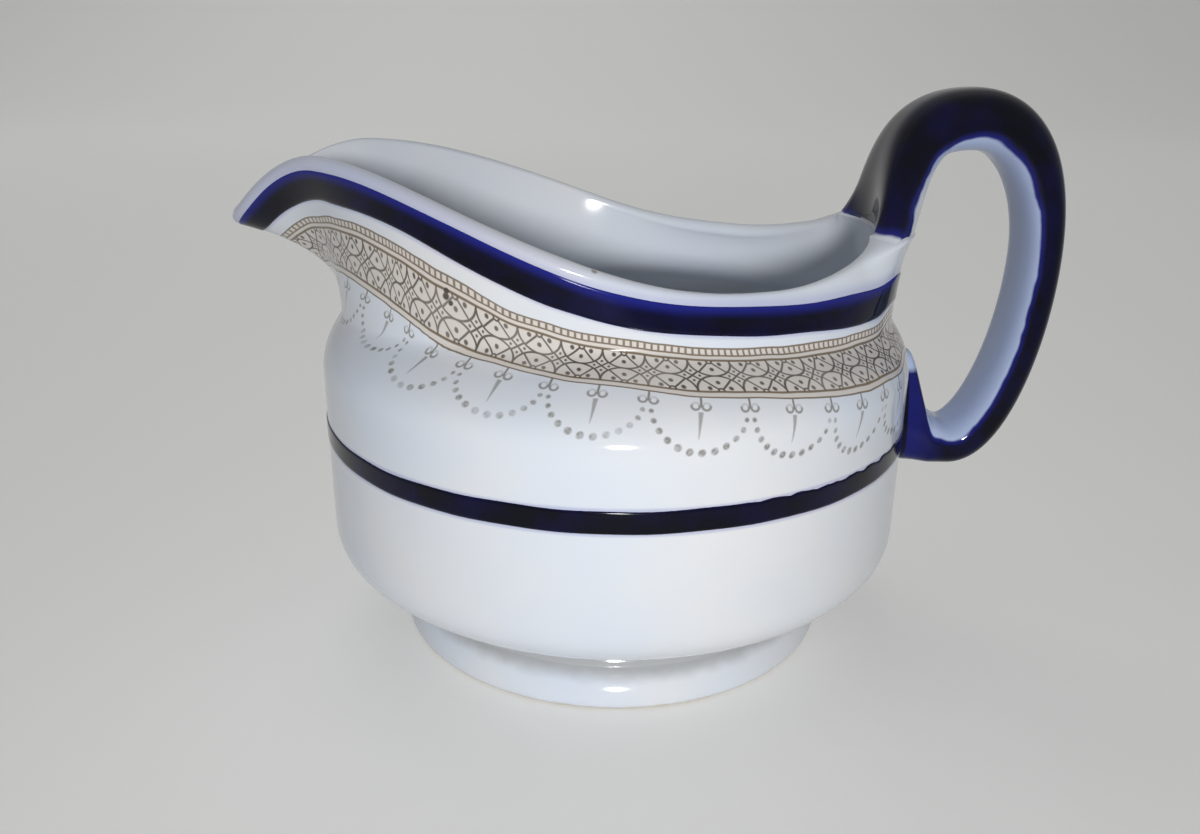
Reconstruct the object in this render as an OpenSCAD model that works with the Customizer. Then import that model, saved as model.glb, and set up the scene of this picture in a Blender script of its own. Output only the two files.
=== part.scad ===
// Gravy boat: a round bowl on a foot ring, a boat-shaped mouth with a pouring lip at -X
// and a loop handle at +X. Millimetres, +Z up, standing on Z = 0.

/* [Bowl] */
// Outside radius of the upright bowl wall
bowl_r = 66; // [60:0.5:72]
// Thickness of the wall of bowl, neck and spout
wall = 4; // [3:0.1:5]
// Thickness of the bowl's floor
floor_t = 4.5; // [3.5:0.1:6]
// Height at which the wall turns upright
flank_z = 28; // [24:0.5:34]
// Slope of the bowl's underside beside the foot, in degrees
flank_slope = 31; // [22:1:40]
// Height at which the shoulder starts
shoulder_z = 63; // [60:0.5:66]

/* [Neck] */
// Half length of the neck, towards spout and handle
neck_x = 62; // [60:0.2:65]
// Half width of the neck
neck_y = 49.5; // [46:0.5:53]
// Height of the neck under spout and handle
neck_end_z = 75; // [70:0.5:77]
// Height of the neck at its two sides
neck_side_z = 78; // [74:0.5:79]

/* [Mouth] */
// Half width of the mouth at its widest, along the crest of the rim
mouth_y = 48; // [44:0.5:52]
// Distance of the widest place from the bowl's axis, towards the spout
mouth_x = 8; // [2:0.5:14]
// Reach of the mouth's round end, along the crest of the rim
mouth_end_x = 58.5; // [56:0.5:61]
// Reach of the pouring lip from the bowl's axis
spout_x = 86; // [78:0.5:94]
// Share of the mouth's width that is left at the pouring lip
spout_share = 0.24; // [0.18:0.01:0.32]
// Height of the pouring lip
lip_z = 93.5; // [90:0.5:99]
// Height of the rim's crests beside the spout
crest_z = 108; // [104:0.5:114]
// Distance of the crests from the bowl's axis
crest_x = 60; // [54:0.5:64]
// Height of the rim at its lowest place
saddle_z = 88; // [86:0.5:90]
// Distance of the lowest place from the bowl's axis
saddle_x = 30; // [22:0.5:36]
// Rise of the rounded lip over its outer edge
lip_round = 1.4; // [1:0.1:2]

/* [Handle land] */
// Height of the flat land on the rim that carries the handle
land_z = 93.5; // [91:0.5:97]
// Depth of the land, from the mouth outwards
land_t = 8.4; // [7:0.1:10]
// Half angle of the land round the mouth's end
land_angle = 20; // [16:1:24]

/* [Handle] */
// Height of the top of the handle
handle_top_z = 123; // [118:0.5:130]
// Distance of the handle's top from the bowl's axis
handle_top_x = 76; // [73:0.5:80]
// Reach of the handle from the bowl wall
handle_reach = 32; // [28:0.5:38]
// Height at which the handle reaches farthest out
handle_wide_z = 86; // [78:0.5:92]
// Height of the lowest part of the handle
handle_low_z = 38.5; // [37:0.5:42]
// Distance of the lowest part from the bowl wall
handle_low_x = 12; // [9:0.5:15]
// Thickness of the handle at its top
handle_top_t = 13; // [10:0.2:15]
// Thickness of the handle at its outer limb
handle_limb_t = 8.6; // [7:0.2:10]
// Thickness of the handle at its lowest part
handle_low_t = 9.6; // [8:0.2:11]
// Width of the handle at its top
handle_top_w = 20; // [16:0.5:24]
// Width of the handle at its outer limb
handle_limb_w = 18; // [14:0.5:22]
// Width of the handle's lower end on the wall
terminal_w = 18; // [14:0.5:22]
// Height of the handle's lower end on the wall
terminal_h = 26.4; // [24:0.2:28]
// Share of the lower end's width lost towards its top
terminal_taper = 0.45; // [0.2:0.05:0.6]
// Height of the middle of the lower end
terminal_z = 51.7; // [51:0.1:53]

/* [Foot ring] */
// Height of the foot ring, with its slip joint
foot_h = 12; // [9:0.2:15]
// Outside radius of the foot ring at the table
foot_r = 50.5; // [48:0.2:54]
// Outside radius of the foot ring at its top
foot_top_r = 48.5; // [47.5:0.1:50]
// Outside radius at the hollow between top and table
foot_cove_r = 46.8; // [45:0.1:47.4]
// Height of the foot ring's hollow
foot_cove_z = 8.4; // [7.4:0.1:9.4]
// Height of the rounded edge at the table
foot_edge = 1.6; // [1:0.1:2.2]
// Width of the foot ring at its narrowest place
foot_w = 5.3; // [4:0.1:7]

/* [Joints and colour bands] */
// Thickness of the slip that holds foot and handle
slip_t = 0.6; // [0.4:0.1:1]
// Width of the bead of slip pressed out round the lower end
slip_bead = 0.8; // [0.4:0.1:1.2]
// Thickness of the cobalt colour
cobalt_t = 0.3; // [0.2:0.05:0.5]
// Height of the lower edge of the waist band
waist_z = 48.4; // [44:0.2:52]
// Height of the waist band
waist_w = 4.8; // [3:0.1:6]
// White lip left above the rim band
band_top = 0.8; // [0.3:0.1:1.2]
// Width of the rim band
band_w = 6.7; // [5:0.1:7]
// Share of the collar's height left white above the rim band at the handle
band_drop = 0.45; // [0.4:0.01:0.62]
// Clearance between a colour or slip layer and the curved face it lies on
layer_gap = 0.04; // [0.03:0.01:0.08]

/* [Hidden] */
$fn = 180;
white = "#E9EBEE";
clay = "#DAD7CF";
cobalt = "#17185F";

// Steps round the mouth, and rows on each stretch of the wall
steps = 120;
flank_rows = 6;
shoulder_rows = 7;
low_collar_rows = 3;
band_rows = 3;
top_collar_rows = 1;
collar_rows = low_collar_rows + band_rows + top_collar_rows;
lip_rows = 4;
base_r = foot_top_r;
foot_in_r = min(foot_top_r, foot_cove_r) - foot_w;
tip_x = spout_x - wall / 2 - 0.64 * lip_round;
end_taper = 0.03;

function mix(a, b, t) = a + (b - a) * t;
function unit(v) = v / norm(v);
function ease(t) = let(c = min(1, max(0, t))) c * c * (3 - 2 * c);
function bezier(p, t) =
    p[0] * pow(1 - t, 3) + 3 * p[1] * pow(1 - t, 2) * t + 3 * p[2] * (1 - t) * t * t + p[3] * pow(t, 3);

// Crest of the rim in plan: an ellipse towards the handle, a tapering tongue towards the spout
function spout_taper(t) = spout_share + (1 - spout_share) * pow(cos(90 * t), 1.5);
function mouth(a) =
    let(c = cos(a), s = sin(a))
    c >= 0
    ? [(mouth_end_x + mouth_x) * c - mouth_x, mouth_y * s * (1 - end_taper * pow(sin(2 * a), 2))]
    : [(tip_x - mouth_x) * c - mouth_x, sign(s) * mouth_y * spout_taper(-c) * sqrt(max(0, 1 - pow(c, 6)))];
function mouth_out(a) = let(d = mouth(a + 0.5) - mouth(a - 0.5)) unit([d[1], -d[0]]);
function land_share(a) = let(d = min(a, 360 - a)) 1 - ease((d - land_angle) / 14);

// Height of the rim: land, saddle, crest and pouring lip
land_x = mouth(land_angle)[0];
function rim_z(x) =
    x > saddle_x
    ? mix(saddle_z, land_z, pow(min(1, (x - saddle_x) / (land_x - saddle_x)), 2))
    : x > -crest_x
    ? mix(saddle_z, crest_z, (1 - cos(180 * pow((saddle_x - x) / (saddle_x + crest_x), 1.25))) / 2)
    : mix(crest_z, lip_z, pow((-crest_x - x) / (tip_x - crest_x), 1.8));

// One meridian of the outside: bowl point, neck point and edge of the lip
function bearing(a) = let(m = mouth(a)) atan2(m[1], m[0]);
function bowl_at(a, z) = let(b = bearing(a)) [bowl_r * cos(b), bowl_r * sin(b), z];
function neck_at(a) =
    let(b = bearing(a), r = 1 / norm([cos(b) / neck_x, sin(b) / neck_y]))
    [r * cos(b), r * sin(b), mix(neck_end_z, neck_side_z, pow(sin(b), 2))];
function edge_at(a) =
    let(m = mouth(a), q = m + mouth_out(a) * mix(wall / 2, land_t - wall / 2, land_share(a)))
    [q[0], q[1], rim_z(m[0]) - lip_round * (1 - land_share(a))];
function flank_curve() =
    [[base_r, foot_h],
     [base_r, foot_h] + (bowl_r - base_r) * 0.75 * [cos(flank_slope), sin(flank_slope)],
     [bowl_r, mix(foot_h, flank_z, 0.5)],
     [bowl_r, flank_z]];
function shoulder_curve(a) =
    let(p = bowl_at(a, shoulder_z), q = neck_at(a), h = q[2] - p[2])
    [p, p + [0, 0, 0.62 * h], q - [0, 0, 0.22 * h], q];
function collar_curve(a) =
    let(p = neck_at(a), q = edge_at(a), h = q[2] - p[2], m = mix(p, q, 0.38))
    [p, p + [0, 0, 0.43 * h], [m[0], m[1], p[2] + 0.8 * h], q];

// Rows of the collar follow the two edges of the rim band
function collar_way(c, k) = [for (i = [0:k]) bezier(c, 1 - i / k)];
function run(w, i) = i == 0 ? 0 : norm(w[i] - w[i - 1]) + run(w, i - 1);
function band_end(a) = let(d = min(a, 360 - a)) d < 80 ? pow(cos(90 * d / 80), 3.4) : 0;
function band_share(a, low) =
    let(k = 16, w = collar_way(collar_curve(a), k), e = band_end(a),
        d = band_top + band_drop * e * run(w, k) + low * band_w * (1 - 0.15 * e))
    lookup(d, [for (i = [0:k]) [run(w, i), 1 - i / k]]);
highs = [for (i = [0:steps - 1]) band_share(360 * i / steps, 0)];
lows = [for (i = [0:steps - 1]) band_share(360 * i / steps, 1)];
function collar_share(i, j) =
    j <= low_collar_rows ? lows[i] * j / low_collar_rows
    : j <= low_collar_rows + band_rows ? mix(lows[i], highs[i], (j - low_collar_rows) / band_rows)
    : mix(highs[i], 1, (j - low_collar_rows - band_rows) / top_collar_rows);

// The outside as one surface: t 0 to 1 flank, 1 to 2 wall, 2 to 3 shoulder, 3 to 4 collar
function outside(a, t) =
    t < 1
    ? let(f = bezier(flank_curve(), t), b = bearing(a)) [f[0] * cos(b), f[0] * sin(b), f[1]]
    : t < 2 ? bowl_at(a, mix(flank_z, shoulder_z, t - 1))
    : t < 3 ? bezier(shoulder_curve(a), t - 2)
    : bezier(collar_curve(a), t - 3);
function outward(a, t) =
    let(e = 0.03, hi = min(4, t + e), lo = max(0, t - e))
    unit(cross(outside(a + 0.6, t) - outside(a - 0.6, t), outside(a, hi) - outside(a, lo)));
function thick(a, t) = t < 3 ? wall : mix(wall, land_t, land_share(a) * pow(t - 3, 2));
function inside(a, t) =
    let(p = outside(a, t) - thick(a, t) * outward(a, t))
    t < 4 ? p : [p[0], p[1], mix(p[2], land_z, land_share(a))];
function lip_at(a, k) =
    let(p = outside(a, 4),
        q = inside(a, 4),
        d = unit(p - outside(a, 3.96)),
        b = 180 * k / lip_rows)
    (p + q) / 2 + (p - q) / 2 * cos(b) + d * sin(b) * lip_round * (1 - land_share(a));

// Closed shells from rings of equal count
function ring_faces(rows, n) =
    [for (j = [0:rows - 2], i = [0:n - 1])
        let(k = (i + 1) % n)
        each [[j * n + i, (j + 1) * n + i, j * n + k], [j * n + k, (j + 1) * n + i, (j + 1) * n + k]]];
function seam_faces(p, q) =
    [for (i = [0:steps - 1])
        let(k = (i + 1) % steps)
        each [[p + i, q + i, p + k], [p + k, q + i, q + k]]];
function flat(rings) = [for (r = rings) each r];
function turn(i) = 360 * i / steps;

flank_ts = [for (j = [0:flank_rows]) j / flank_rows];
shoulder_ts = [for (j = [0:shoulder_rows]) 2 + j / shoulder_rows];
plain_ts = concat(flank_ts, shoulder_ts);
function back(v) = [for (j = [len(v) - 1:-1:0]) v[j]];
function collar_ring(j, face) =
    [for (i = [0:steps - 1])
        let(t = 3 + collar_share(i, j))
        face == 1 ? outside(turn(i), t) : inside(turn(i), t)];
body_rings = concat(
    [for (t = plain_ts) [for (i = [0:steps - 1]) outside(turn(i), t)]],
    [for (j = [1:collar_rows]) collar_ring(j, 1)],
    [for (k = [1:lip_rows - 1]) [for (i = [0:steps - 1]) lip_at(turn(i), k)]],
    [for (j = [collar_rows:-1:1]) collar_ring(j, 0)],
    [for (t = back(plain_ts)) [for (i = [0:steps - 1]) inside(turn(i), t)]]);

// Handle: middle line in the plane of symmetry, in four stretches
land_mid = mouth_end_x - wall / 2 + land_t / 2;
root_z = land_z + slip_t;
limb_x = bowl_r + handle_reach - handle_limb_t / 2;
top_mid = handle_top_z - handle_top_t / 2;
low_mid = handle_low_z + handle_low_t / 2;
low_x = bowl_r + handle_low_x;
wall_x = bowl_r + layer_gap + slip_t;
rise = top_mid - root_z;
fall = top_mid - handle_wide_z;
dive = handle_wide_z - low_mid;
handle_ways = [
    [[land_mid, root_z], [land_mid, root_z + 0.8 * rise],
     [mix(handle_top_x, land_mid, 0.68), top_mid], [handle_top_x, top_mid]],
    [[handle_top_x, top_mid], [mix(handle_top_x, limb_x, 0.6), top_mid],
     [limb_x, handle_wide_z + 0.58 * fall], [limb_x, handle_wide_z]],
    [[limb_x, handle_wide_z], [limb_x, handle_wide_z - 0.48 * dive],
     [mix(low_x, limb_x, 0.55), low_mid], [low_x, low_mid]],
    [[low_x, low_mid], [mix(low_x, wall_x, 1 / 3), low_mid],
     [mix(low_x, wall_x, 2 / 3), terminal_z], [wall_x, terminal_z]]];
way_rows = 12;
handle_rows = 4 * way_rows;
sides = 36;
cap_rows = 12;

// Half thickness and half width at the ends of the stretches
half_ts = [land_t, handle_top_t, handle_limb_t, handle_low_t, terminal_h] / 2;
root_w = 2 * mouth_y * sin(land_angle);
half_ws = [root_w, handle_top_w, handle_limb_w, (handle_limb_w + terminal_w) / 2, terminal_w] / 2;
function grow(k, u) =
    k == 0 ? 1 - pow(1 - u, 2.2)
    : k == 3 ? ease((u - 0.35) / 0.55)
    : ease(u);
function section(b) = [pow(abs(cos(b)), 0.72) * sign(cos(b)), pow(abs(sin(b)), 0.72) * sign(sin(b))];

// Root: the section laid on the land, between the mouth and the outer edge of the rim
function root_point(c) =
    let(a = land_angle * c[0],
        q = mouth(a) + mouth_out(a) * mix(-wall / 2, land_t - wall / 2, (1 - c[1]) / 2))
    [q[0], q[1], root_z];
// Lower end: the section laid on the round wall and the start of the shoulder
wall_line = [for (j = [0:len(plain_ts) + collar_rows - 1]) [body_rings[j][0][2], body_rings[j][0][0]]];
function end_width(up) = 1 - terminal_taper * pow(up, 1.5);
function wall_point(c, gap, grow_by) =
    let(y = c[0] * (terminal_w / 2 + grow_by) * end_width((1 - c[1]) / 2),
        z = terminal_z - c[1] * (terminal_h / 2 + grow_by),
        r = lookup(z, wall_line) + gap)
    [sqrt(r * r - y * y), y, z];
function handle_point(k, u, c) =
    let(w = handle_ways[k],
        q = bezier(w, u),
        g = grow(k, u),
        p = k == 3 ? [q[0], mix(low_mid, terminal_z, g)] : q,
        d = k == 3 ? [-1, 0] : unit(bezier(w, min(1, u + 0.01)) - bezier(w, max(0, u - 0.01))),
        h = mix(half_ts[k], half_ts[k + 1], g),
        end_share = k == 3 ? mix(1, end_width((1 - c[1]) / 2), g) : 1,
        v = mix(half_ws[k], half_ws[k + 1], g) * end_share,
        sag = k == 0 ? (land_mid - root_point([1, 0])[0]) * pow(1 - u, 3) : 0)
    [p[0] - d[1] * h * c[1] - sag * c[0] * c[0], v * c[0], p[1] + d[0] * h * c[1]];
sections = [for (i = [0:sides - 1]) section(360 * (i + 0.5) / sides)];
function wall_ring(share, gap, grow_by) = [for (c = sections) wall_point(share * c, gap, grow_by)];
wall_shares = [for (k = [0:cap_rows - 1]) 1 - k / cap_rows];
handle_rings = concat(
    [[for (c = sections) root_point(c)]],
    [for (j = [1:handle_rows - 1])
        let(k = floor(j / way_rows), u = j / way_rows - k)
        [for (c = sections) handle_point(k, u, c)]],
    [for (w = wall_shares) wall_ring(w, layer_gap + slip_t, 0)]);

// Where the object's middle lies, so that the origin is under the centre of its length
shift = -(max([for (p = flat(handle_rings)) p[0]]) + min([for (p = flat(body_rings)) p[0]])) / 2;

// A closed shell from rings of equal count and the middle points of its two ends
module shell(rings, first, last) {
    n = len(rings);
    k = len(rings[0]);
    faces = concat(
        ring_faces(n, k),
        [for (i = [0:k - 1]) [n * k, i, (i + 1) % k]],
        [for (i = [0:k - 1]) [n * k + 1, (n - 1) * k + (i + 1) % k, (n - 1) * k + i]]);
    translate([shift, 0, 0])
        polyhedron(concat(flat(rings), [first, last]), faces, convexity = 8);
}

module body() {
    color(white)
        shell(body_rings, [0, 0, foot_h], [0, 0, foot_h + floor_t]);
}

module foot_ring() {
    top = foot_h - slip_t;
    ways = [[foot_r, foot_edge], [foot_r, mix(foot_edge, foot_cove_z, 0.45)],
            [mix(foot_cove_r, foot_r, 0.4), mix(foot_edge, foot_cove_z, 0.85)], [foot_cove_r, foot_cove_z]];
    outline = concat(
        [[foot_in_r, top], [foot_in_r, foot_edge / 2]],
        [[foot_in_r + foot_edge / 2, 0], [foot_r - foot_edge, 0]],
        [for (b = [-60:30:0]) [foot_r - foot_edge + foot_edge * cos(b), foot_edge + foot_edge * sin(b)]],
        [for (j = [1:6]) bezier(ways, j / 6)],
        [[foot_top_r, top]]);
    color(white)
        translate([shift, 0, 0])
            rotate_extrude()
                polygon(outline);
}

module foot_slip() {
    color(clay)
        translate([shift, 0, foot_h - slip_t])
            difference() {
                cylinder(r = foot_top_r - slip_t / 3, h = slip_t);
                translate([0, 0, -1])
                    cylinder(r = foot_in_r + slip_t / 3, h = slip_t + 2);
            }
}

module handle() {
    color(cobalt)
        shell(handle_rings, root_point([0, 0]), wall_point([0, 0], layer_gap + slip_t, 0));
}

module upper_slip() {
    drop = [0, 0, slip_t];
    middle = root_point([0, 0]);
    low_ring = [for (p = handle_rings[0]) p - drop];
    color(clay)
        shell([low_ring, handle_rings[0]], middle - drop, middle);
}

module lower_slip() {
    rings = concat(
        [for (w = back(wall_shares)) wall_ring(w, slip_t, slip_bead)],
        [for (w = wall_shares) wall_ring(w, layer_gap, slip_bead)]);
    color(clay)
        shell(rings, wall_point([0, 0], slip_t, slip_bead), wall_point([0, 0], layer_gap, slip_bead));
}

module rim_band() {
    js = [for (j = [0:band_rows]) low_collar_rows + j];
    function band_ring(j, h) =
        [for (i = [0:steps - 1])
            let(a = turn(i), t = 3 + collar_share(i, j))
            outside(a, t) + outward(a, t) * h];
    rings = concat(
        [for (j = js) band_ring(j, layer_gap + cobalt_t)],
        [for (j = js) band_ring(j, layer_gap)]);
    skin = ring_faces(band_rows + 1, steps);
    under = (band_rows + 1) * steps;
    top = band_rows * steps;
    faces = concat(
        skin,
        [for (f = skin) [f[0], f[2], f[1]] + under * [1, 1, 1]],
        seam_faces(top, under + top),
        seam_faces(under, 0));
    color(cobalt)
        translate([shift, 0, 0])
            polyhedron(flat(rings), faces, convexity = 8);
}

module waist_band() {
    low_up = (waist_z - terminal_z) / terminal_h + 0.5;
    free = asin(((terminal_w / 2 + slip_bead) * end_width(low_up) + cobalt_t) / bowl_r);
    color(cobalt)
        translate([shift, 0, waist_z])
            rotate([0, 0, free])
                rotate_extrude(angle = 360 - 2 * free)
                    translate([bowl_r + layer_gap, 0])
                        square([cobalt_t, waist_w]);
}

body();
foot_ring();
foot_slip();
handle();
upper_slip();
lower_slip();
rim_band();
waist_band();
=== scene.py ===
from functools import lru_cache, partial
from math import acos, atan2, cos, hypot, pi, radians, sin, sqrt

import bmesh
import bpy
from mathutils import Matrix, Vector


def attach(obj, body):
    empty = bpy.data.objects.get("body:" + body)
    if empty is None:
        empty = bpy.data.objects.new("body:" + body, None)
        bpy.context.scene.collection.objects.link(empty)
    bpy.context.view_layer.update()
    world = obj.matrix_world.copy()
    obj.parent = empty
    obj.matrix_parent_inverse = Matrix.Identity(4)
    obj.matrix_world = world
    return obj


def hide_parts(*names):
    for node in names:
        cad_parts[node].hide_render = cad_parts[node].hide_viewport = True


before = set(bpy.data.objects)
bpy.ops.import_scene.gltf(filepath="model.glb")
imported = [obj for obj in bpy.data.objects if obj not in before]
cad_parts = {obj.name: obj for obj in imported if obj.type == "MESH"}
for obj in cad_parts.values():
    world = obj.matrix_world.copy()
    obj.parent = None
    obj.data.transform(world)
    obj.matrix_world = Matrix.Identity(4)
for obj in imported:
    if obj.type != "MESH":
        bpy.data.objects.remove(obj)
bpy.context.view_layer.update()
mm = 0.001
axisShift = -6.052  # the bowl's axis stands off the middle of the whole length
upright = Vector((0, 0, 1))


def mix(a, b, t):
    return a + (b - a) * t


def ease(t):
    t = min(1, max(0, t))
    return t * t * (3 - 2 * t)


def bezier(p, t):
    s = 1 - t
    return p[0] * s ** 3 + p[1] * (3 * s * s * t) + p[2] * (3 * s * t * t) + p[3] * t ** 3


# Smooth curve through (x, y) points
def through(points, x):
    i = max(0, min(sum(p[0] <= x for p in points) - 1, len(points) - 2))
    (x0, y0), (x1, y1) = points[i:i + 2]
    slopes = []
    for j in (i, i + 1):
        before, after = points[max(0, j - 1)], points[min(len(points) - 1, j + 1)]
        slopes.append((after[1] - before[1]) / (after[0] - before[0]))
    t = (x - x0) / (x1 - x0)
    return mix(y0, y1, ease(t)) + (x1 - x0) * t * (1 - t) * ((1 - t) * slopes[0] - t * slopes[1])


# Sum of waves round the boat, each (count, size, turn)
def waver(waves, a):
    return sum(size * sin(radians(count * a + turn)) for count, size, turn in waves)


def linear(hexColour):
    parts = [int(hexColour[i:i + 2], 16) / 255 for i in (1, 3, 5)]
    return tuple(c / 12.92 if c <= 0.04045 else ((c + 0.055) / 1.055) ** 2.4 for c in parts) + (1.0,)


# Adds a node, sets its properties and fills its inputs with values, nodes or sockets
def addNode(tree, kind, inputs=(), **settings):
    node = tree.nodes.new("ShaderNode" + kind)
    for name, value in settings.items():
        setattr(node, name, value)
    for slot, value in inputs.items() if isinstance(inputs, dict) else enumerate(inputs):
        if isinstance(value, bpy.types.Node):
            value = value.outputs[0]
        if isinstance(value, bpy.types.NodeSocket):
            tree.links.new(value, node.inputs[slot])
        else:
            node.inputs[slot].default_value = value
    return node


def newMaterial(name):
    material = bpy.data.materials.new(name)
    material.use_nodes = True
    material.node_tree.nodes.clear()
    return material, partial(addNode, material.node_tree)


# A finished piece: smooth, named, riding on the one body, with its CAD nodes hidden
def finishPiece(bm, name, material, slot, *nodes):
    mesh = bpy.data.meshes.new(name)
    bm.to_mesh(mesh)
    bm.free()
    for face in mesh.polygons:
        face.use_smooth = True
    piece = bpy.data.objects.new(name, mesh)
    bpy.context.scene.collection.objects.link(piece)
    mesh.materials.append(material)
    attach(piece, "root")
    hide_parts(*nodes)
    print("piece:", name, len(mesh.polygons), "faces")


# A grid of columns and rows laid on a surface; mapsAt gives {map name: (u, v)} for a grid place
def layGrid(columns, rows, placeAt, mapsAt):
    bm = bmesh.new()
    bmesh.ops.create_grid(bm, x_segments=columns, y_segments=rows, size=0.5)
    maps = {}
    for vert in bm.verts:
        u, row = vert.co.x + 0.5, round((vert.co.y + 0.5) * rows)
        p = placeAt(u, row)
        vert.co = Vector((p.x + axisShift, p.y, p.z)) * mm
        maps[vert] = mapsAt(u, row)
    for name in maps[next(iter(maps))]:
        layer = bm.loops.layers.uv.new(name)
        for face in bm.faces:
            for corner in face.loops:
                corner[layer].uv = maps[corner.vert][name]
    bmesh.ops.remove_doubles(bm, verts=bm.verts, dist=1e-6)
    bmesh.ops.recalc_face_normals(bm, faces=bm.faces)
    return bm


def spread(kind, first, last, count):
    return [(kind, mix(first, last, i / count)) for i in range(count)]


# Body of the boat: bowl, neck, collar and rim, in millimetres and degrees
boat = {
    "bowlRadius": 66, "wall": 4, "floor": 4.5, "floorPull": 6, "floorFlat": 0.7,
    "footH": 12, "baseRadius": 48.5, "flankZ": 28, "flankSlope": 31, "flankReach": 0.75,
    "shoulderZ": 63, "shoulderPull": (0.62, 0.22), "collarPull": 0.43, "collarKnee": (0.38, 0.8),
    "neckX": 62, "neckY": 49.5, "neckEndZ": 75, "neckSideZ": 78,
    "mouthY": 48, "mouthX": 8, "mouthEndX": 58.5, "endTaper": 0.03,
    "spoutX": 86, "spoutShare": 0.24, "spoutTaper": 1.5, "spoutBlunt": 6,
    "lipZ": 93.5, "lipFall": 1.8, "lipRound": 1.4, "lipReach": 0.64,
    "crestZ": 108, "crestX": 60, "crestRise": 1.25, "saddleZ": 88, "saddleX": 30,
    "landZ": 93.5, "landFlat": 0.3, "landDepth": 8.4, "landAngle": 20, "landFade": 14,
    "columns": 288, "underRows": 6, "outRows": (14, 8, 20, 26), "lipRows": 10, "inRows": (20, 14, 6, 12),
    "floorRows": 12,
}
base, bowl, wall = boat["baseRadius"], boat["bowlRadius"], boat["wall"]
tipX = boat["spoutX"] - wall / 2 - boat["lipReach"] * boat["lipRound"]


# Crest of the rim in plan, by the angle round the mouth
def mouth(a):
    c, s = cos(radians(a)), sin(radians(a))
    middle, halfY = boat["mouthX"], boat["mouthY"]
    if c >= 0:
        taper = 1 - boat["endTaper"] * sin(radians(2 * a)) ** 2
        return Vector(((boat["mouthEndX"] + middle) * c - middle, halfY * s * taper))
    share = boat["spoutShare"]
    taper = share + (1 - share) * max(0, cos(-c * pi / 2)) ** boat["spoutTaper"]
    blunt = sqrt(max(0, 1 - c ** boat["spoutBlunt"]))
    side = (s > 0) - (s < 0)
    return Vector(((tipX - middle) * c - middle, side * halfY * taper * blunt))


def mouthOut(a):
    d = mouth(a + 0.5) - mouth(a - 0.5)
    return Vector((d.y, -d.x)).normalized()


def fromHandle(a):
    return min(a % 360, 360 - a % 360)


def landShare(a):
    return 1 - ease((fromHandle(a) - boat["landAngle"]) / boat["landFade"])


landX = mouth(boat["landAngle"]).x


def rimZ(x):
    saddleX, saddleZ, crestX, crestZ = [boat[name] for name in ("saddleX", "saddleZ", "crestX", "crestZ")]
    if x > saddleX:
        return mix(saddleZ, boat["landZ"], min(1, (x - saddleX) / (landX - saddleX)) ** 2)
    if x > -crestX:
        t = ((saddleX - x) / (saddleX + crestX)) ** boat["crestRise"]
        return mix(saddleZ, crestZ, (1 - cos(pi * t)) / 2)
    return mix(crestZ, boat["lipZ"], max(0, (-crestX - x) / (tipX - crestX)) ** boat["lipFall"])


# Bearing, shoulder curve and collar curve of one meridian
@lru_cache(maxsize=None)
def meridian(a):
    crest, land = mouth(a), landShare(a)
    turn = atan2(crest.y, crest.x)
    way = Vector((cos(turn), sin(turn), 0))
    low = way * bowl + upright * boat["shoulderZ"]
    neck = way / hypot(way.x / boat["neckX"], way.y / boat["neckY"])
    neck.z = mix(boat["neckEndZ"], boat["neckSideZ"], way.y ** 2)
    out = crest + mouthOut(a) * mix(wall / 2, boat["landDepth"] - wall / 2, land)
    edge = Vector((out.x, out.y, rimZ(crest.x) - boat["lipRound"] * (1 - land)))
    shoulderH, collarH = neck.z - low.z, edge.z - neck.z
    kneeOut, kneeUp = boat["collarKnee"]
    knee = mix(neck, edge, kneeOut)
    knee.z = neck.z + kneeUp * collarH
    lowPull, neckPull = boat["shoulderPull"]
    shoulder = (low, low + upright * lowPull * shoulderH, neck - upright * neckPull * shoulderH, neck)
    collar = (neck, neck + upright * boat["collarPull"] * collarH, knee, edge)
    return way, shoulder, collar


reach, slope = (bowl - base) * boat["flankReach"], radians(boat["flankSlope"])
flank = (Vector((base, boat["footH"])),
         Vector((base + reach * cos(slope), boat["footH"] + reach * sin(slope))),
         Vector((bowl, mix(boat["footH"], boat["flankZ"], 0.5))),
         Vector((bowl, boat["flankZ"])))


# The outside as one surface: t 0 to 1 flank, 1 to 2 wall, 2 to 3 shoulder, 3 to 4 collar
def outside(a, t):
    way, shoulder, collar = meridian(a)
    if t < 1:
        p = bezier(flank, t)
        return way * p.x + upright * p.y
    if t < 2:
        return way * bowl + upright * mix(boat["flankZ"], boat["shoulderZ"], t - 1)
    return bezier(shoulder, t - 2) if t < 3 else bezier(collar, t - 3)


def outward(a, t):
    along = outside(a, min(4, t + 0.03)) - outside(a, max(0, t - 0.03))
    return (outside(a + 0.6, t) - outside(a - 0.6, t)).cross(along).normalized()


# The inside lies a wall's thickness in, and the land's depth under the handle's root
def inside(a, t):
    up = max(0, t - 3)
    grown = landShare(a) * up
    way = outward(a, t)
    way.z *= 1 - grown
    return outside(a, t) - way.normalized() * mix(wall, boat["landDepth"], grown * up)


def lipAt(a, share):
    p, q = outside(a, 4), inside(a, 4)
    up = (p - outside(a, 3.96)).normalized()
    crown = boat["lipRound"] * (1 - boat["landFlat"] * landShare(a))
    return (p + q) / 2 + (p - q) / 2 * cos(pi * share) + up * sin(pi * share) * crown


def floorAt(a, share):
    edge, middle = inside(a, 0), upright * (boat["footH"] + boat["floor"])
    dip = (edge - inside(a, 0.12)).normalized() * boat["floorPull"]
    flat = Vector((edge.x * boat["floorFlat"], edge.y * boat["floorFlat"], middle.z))
    return bezier((edge, edge + dip, flat, middle), share)


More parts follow.
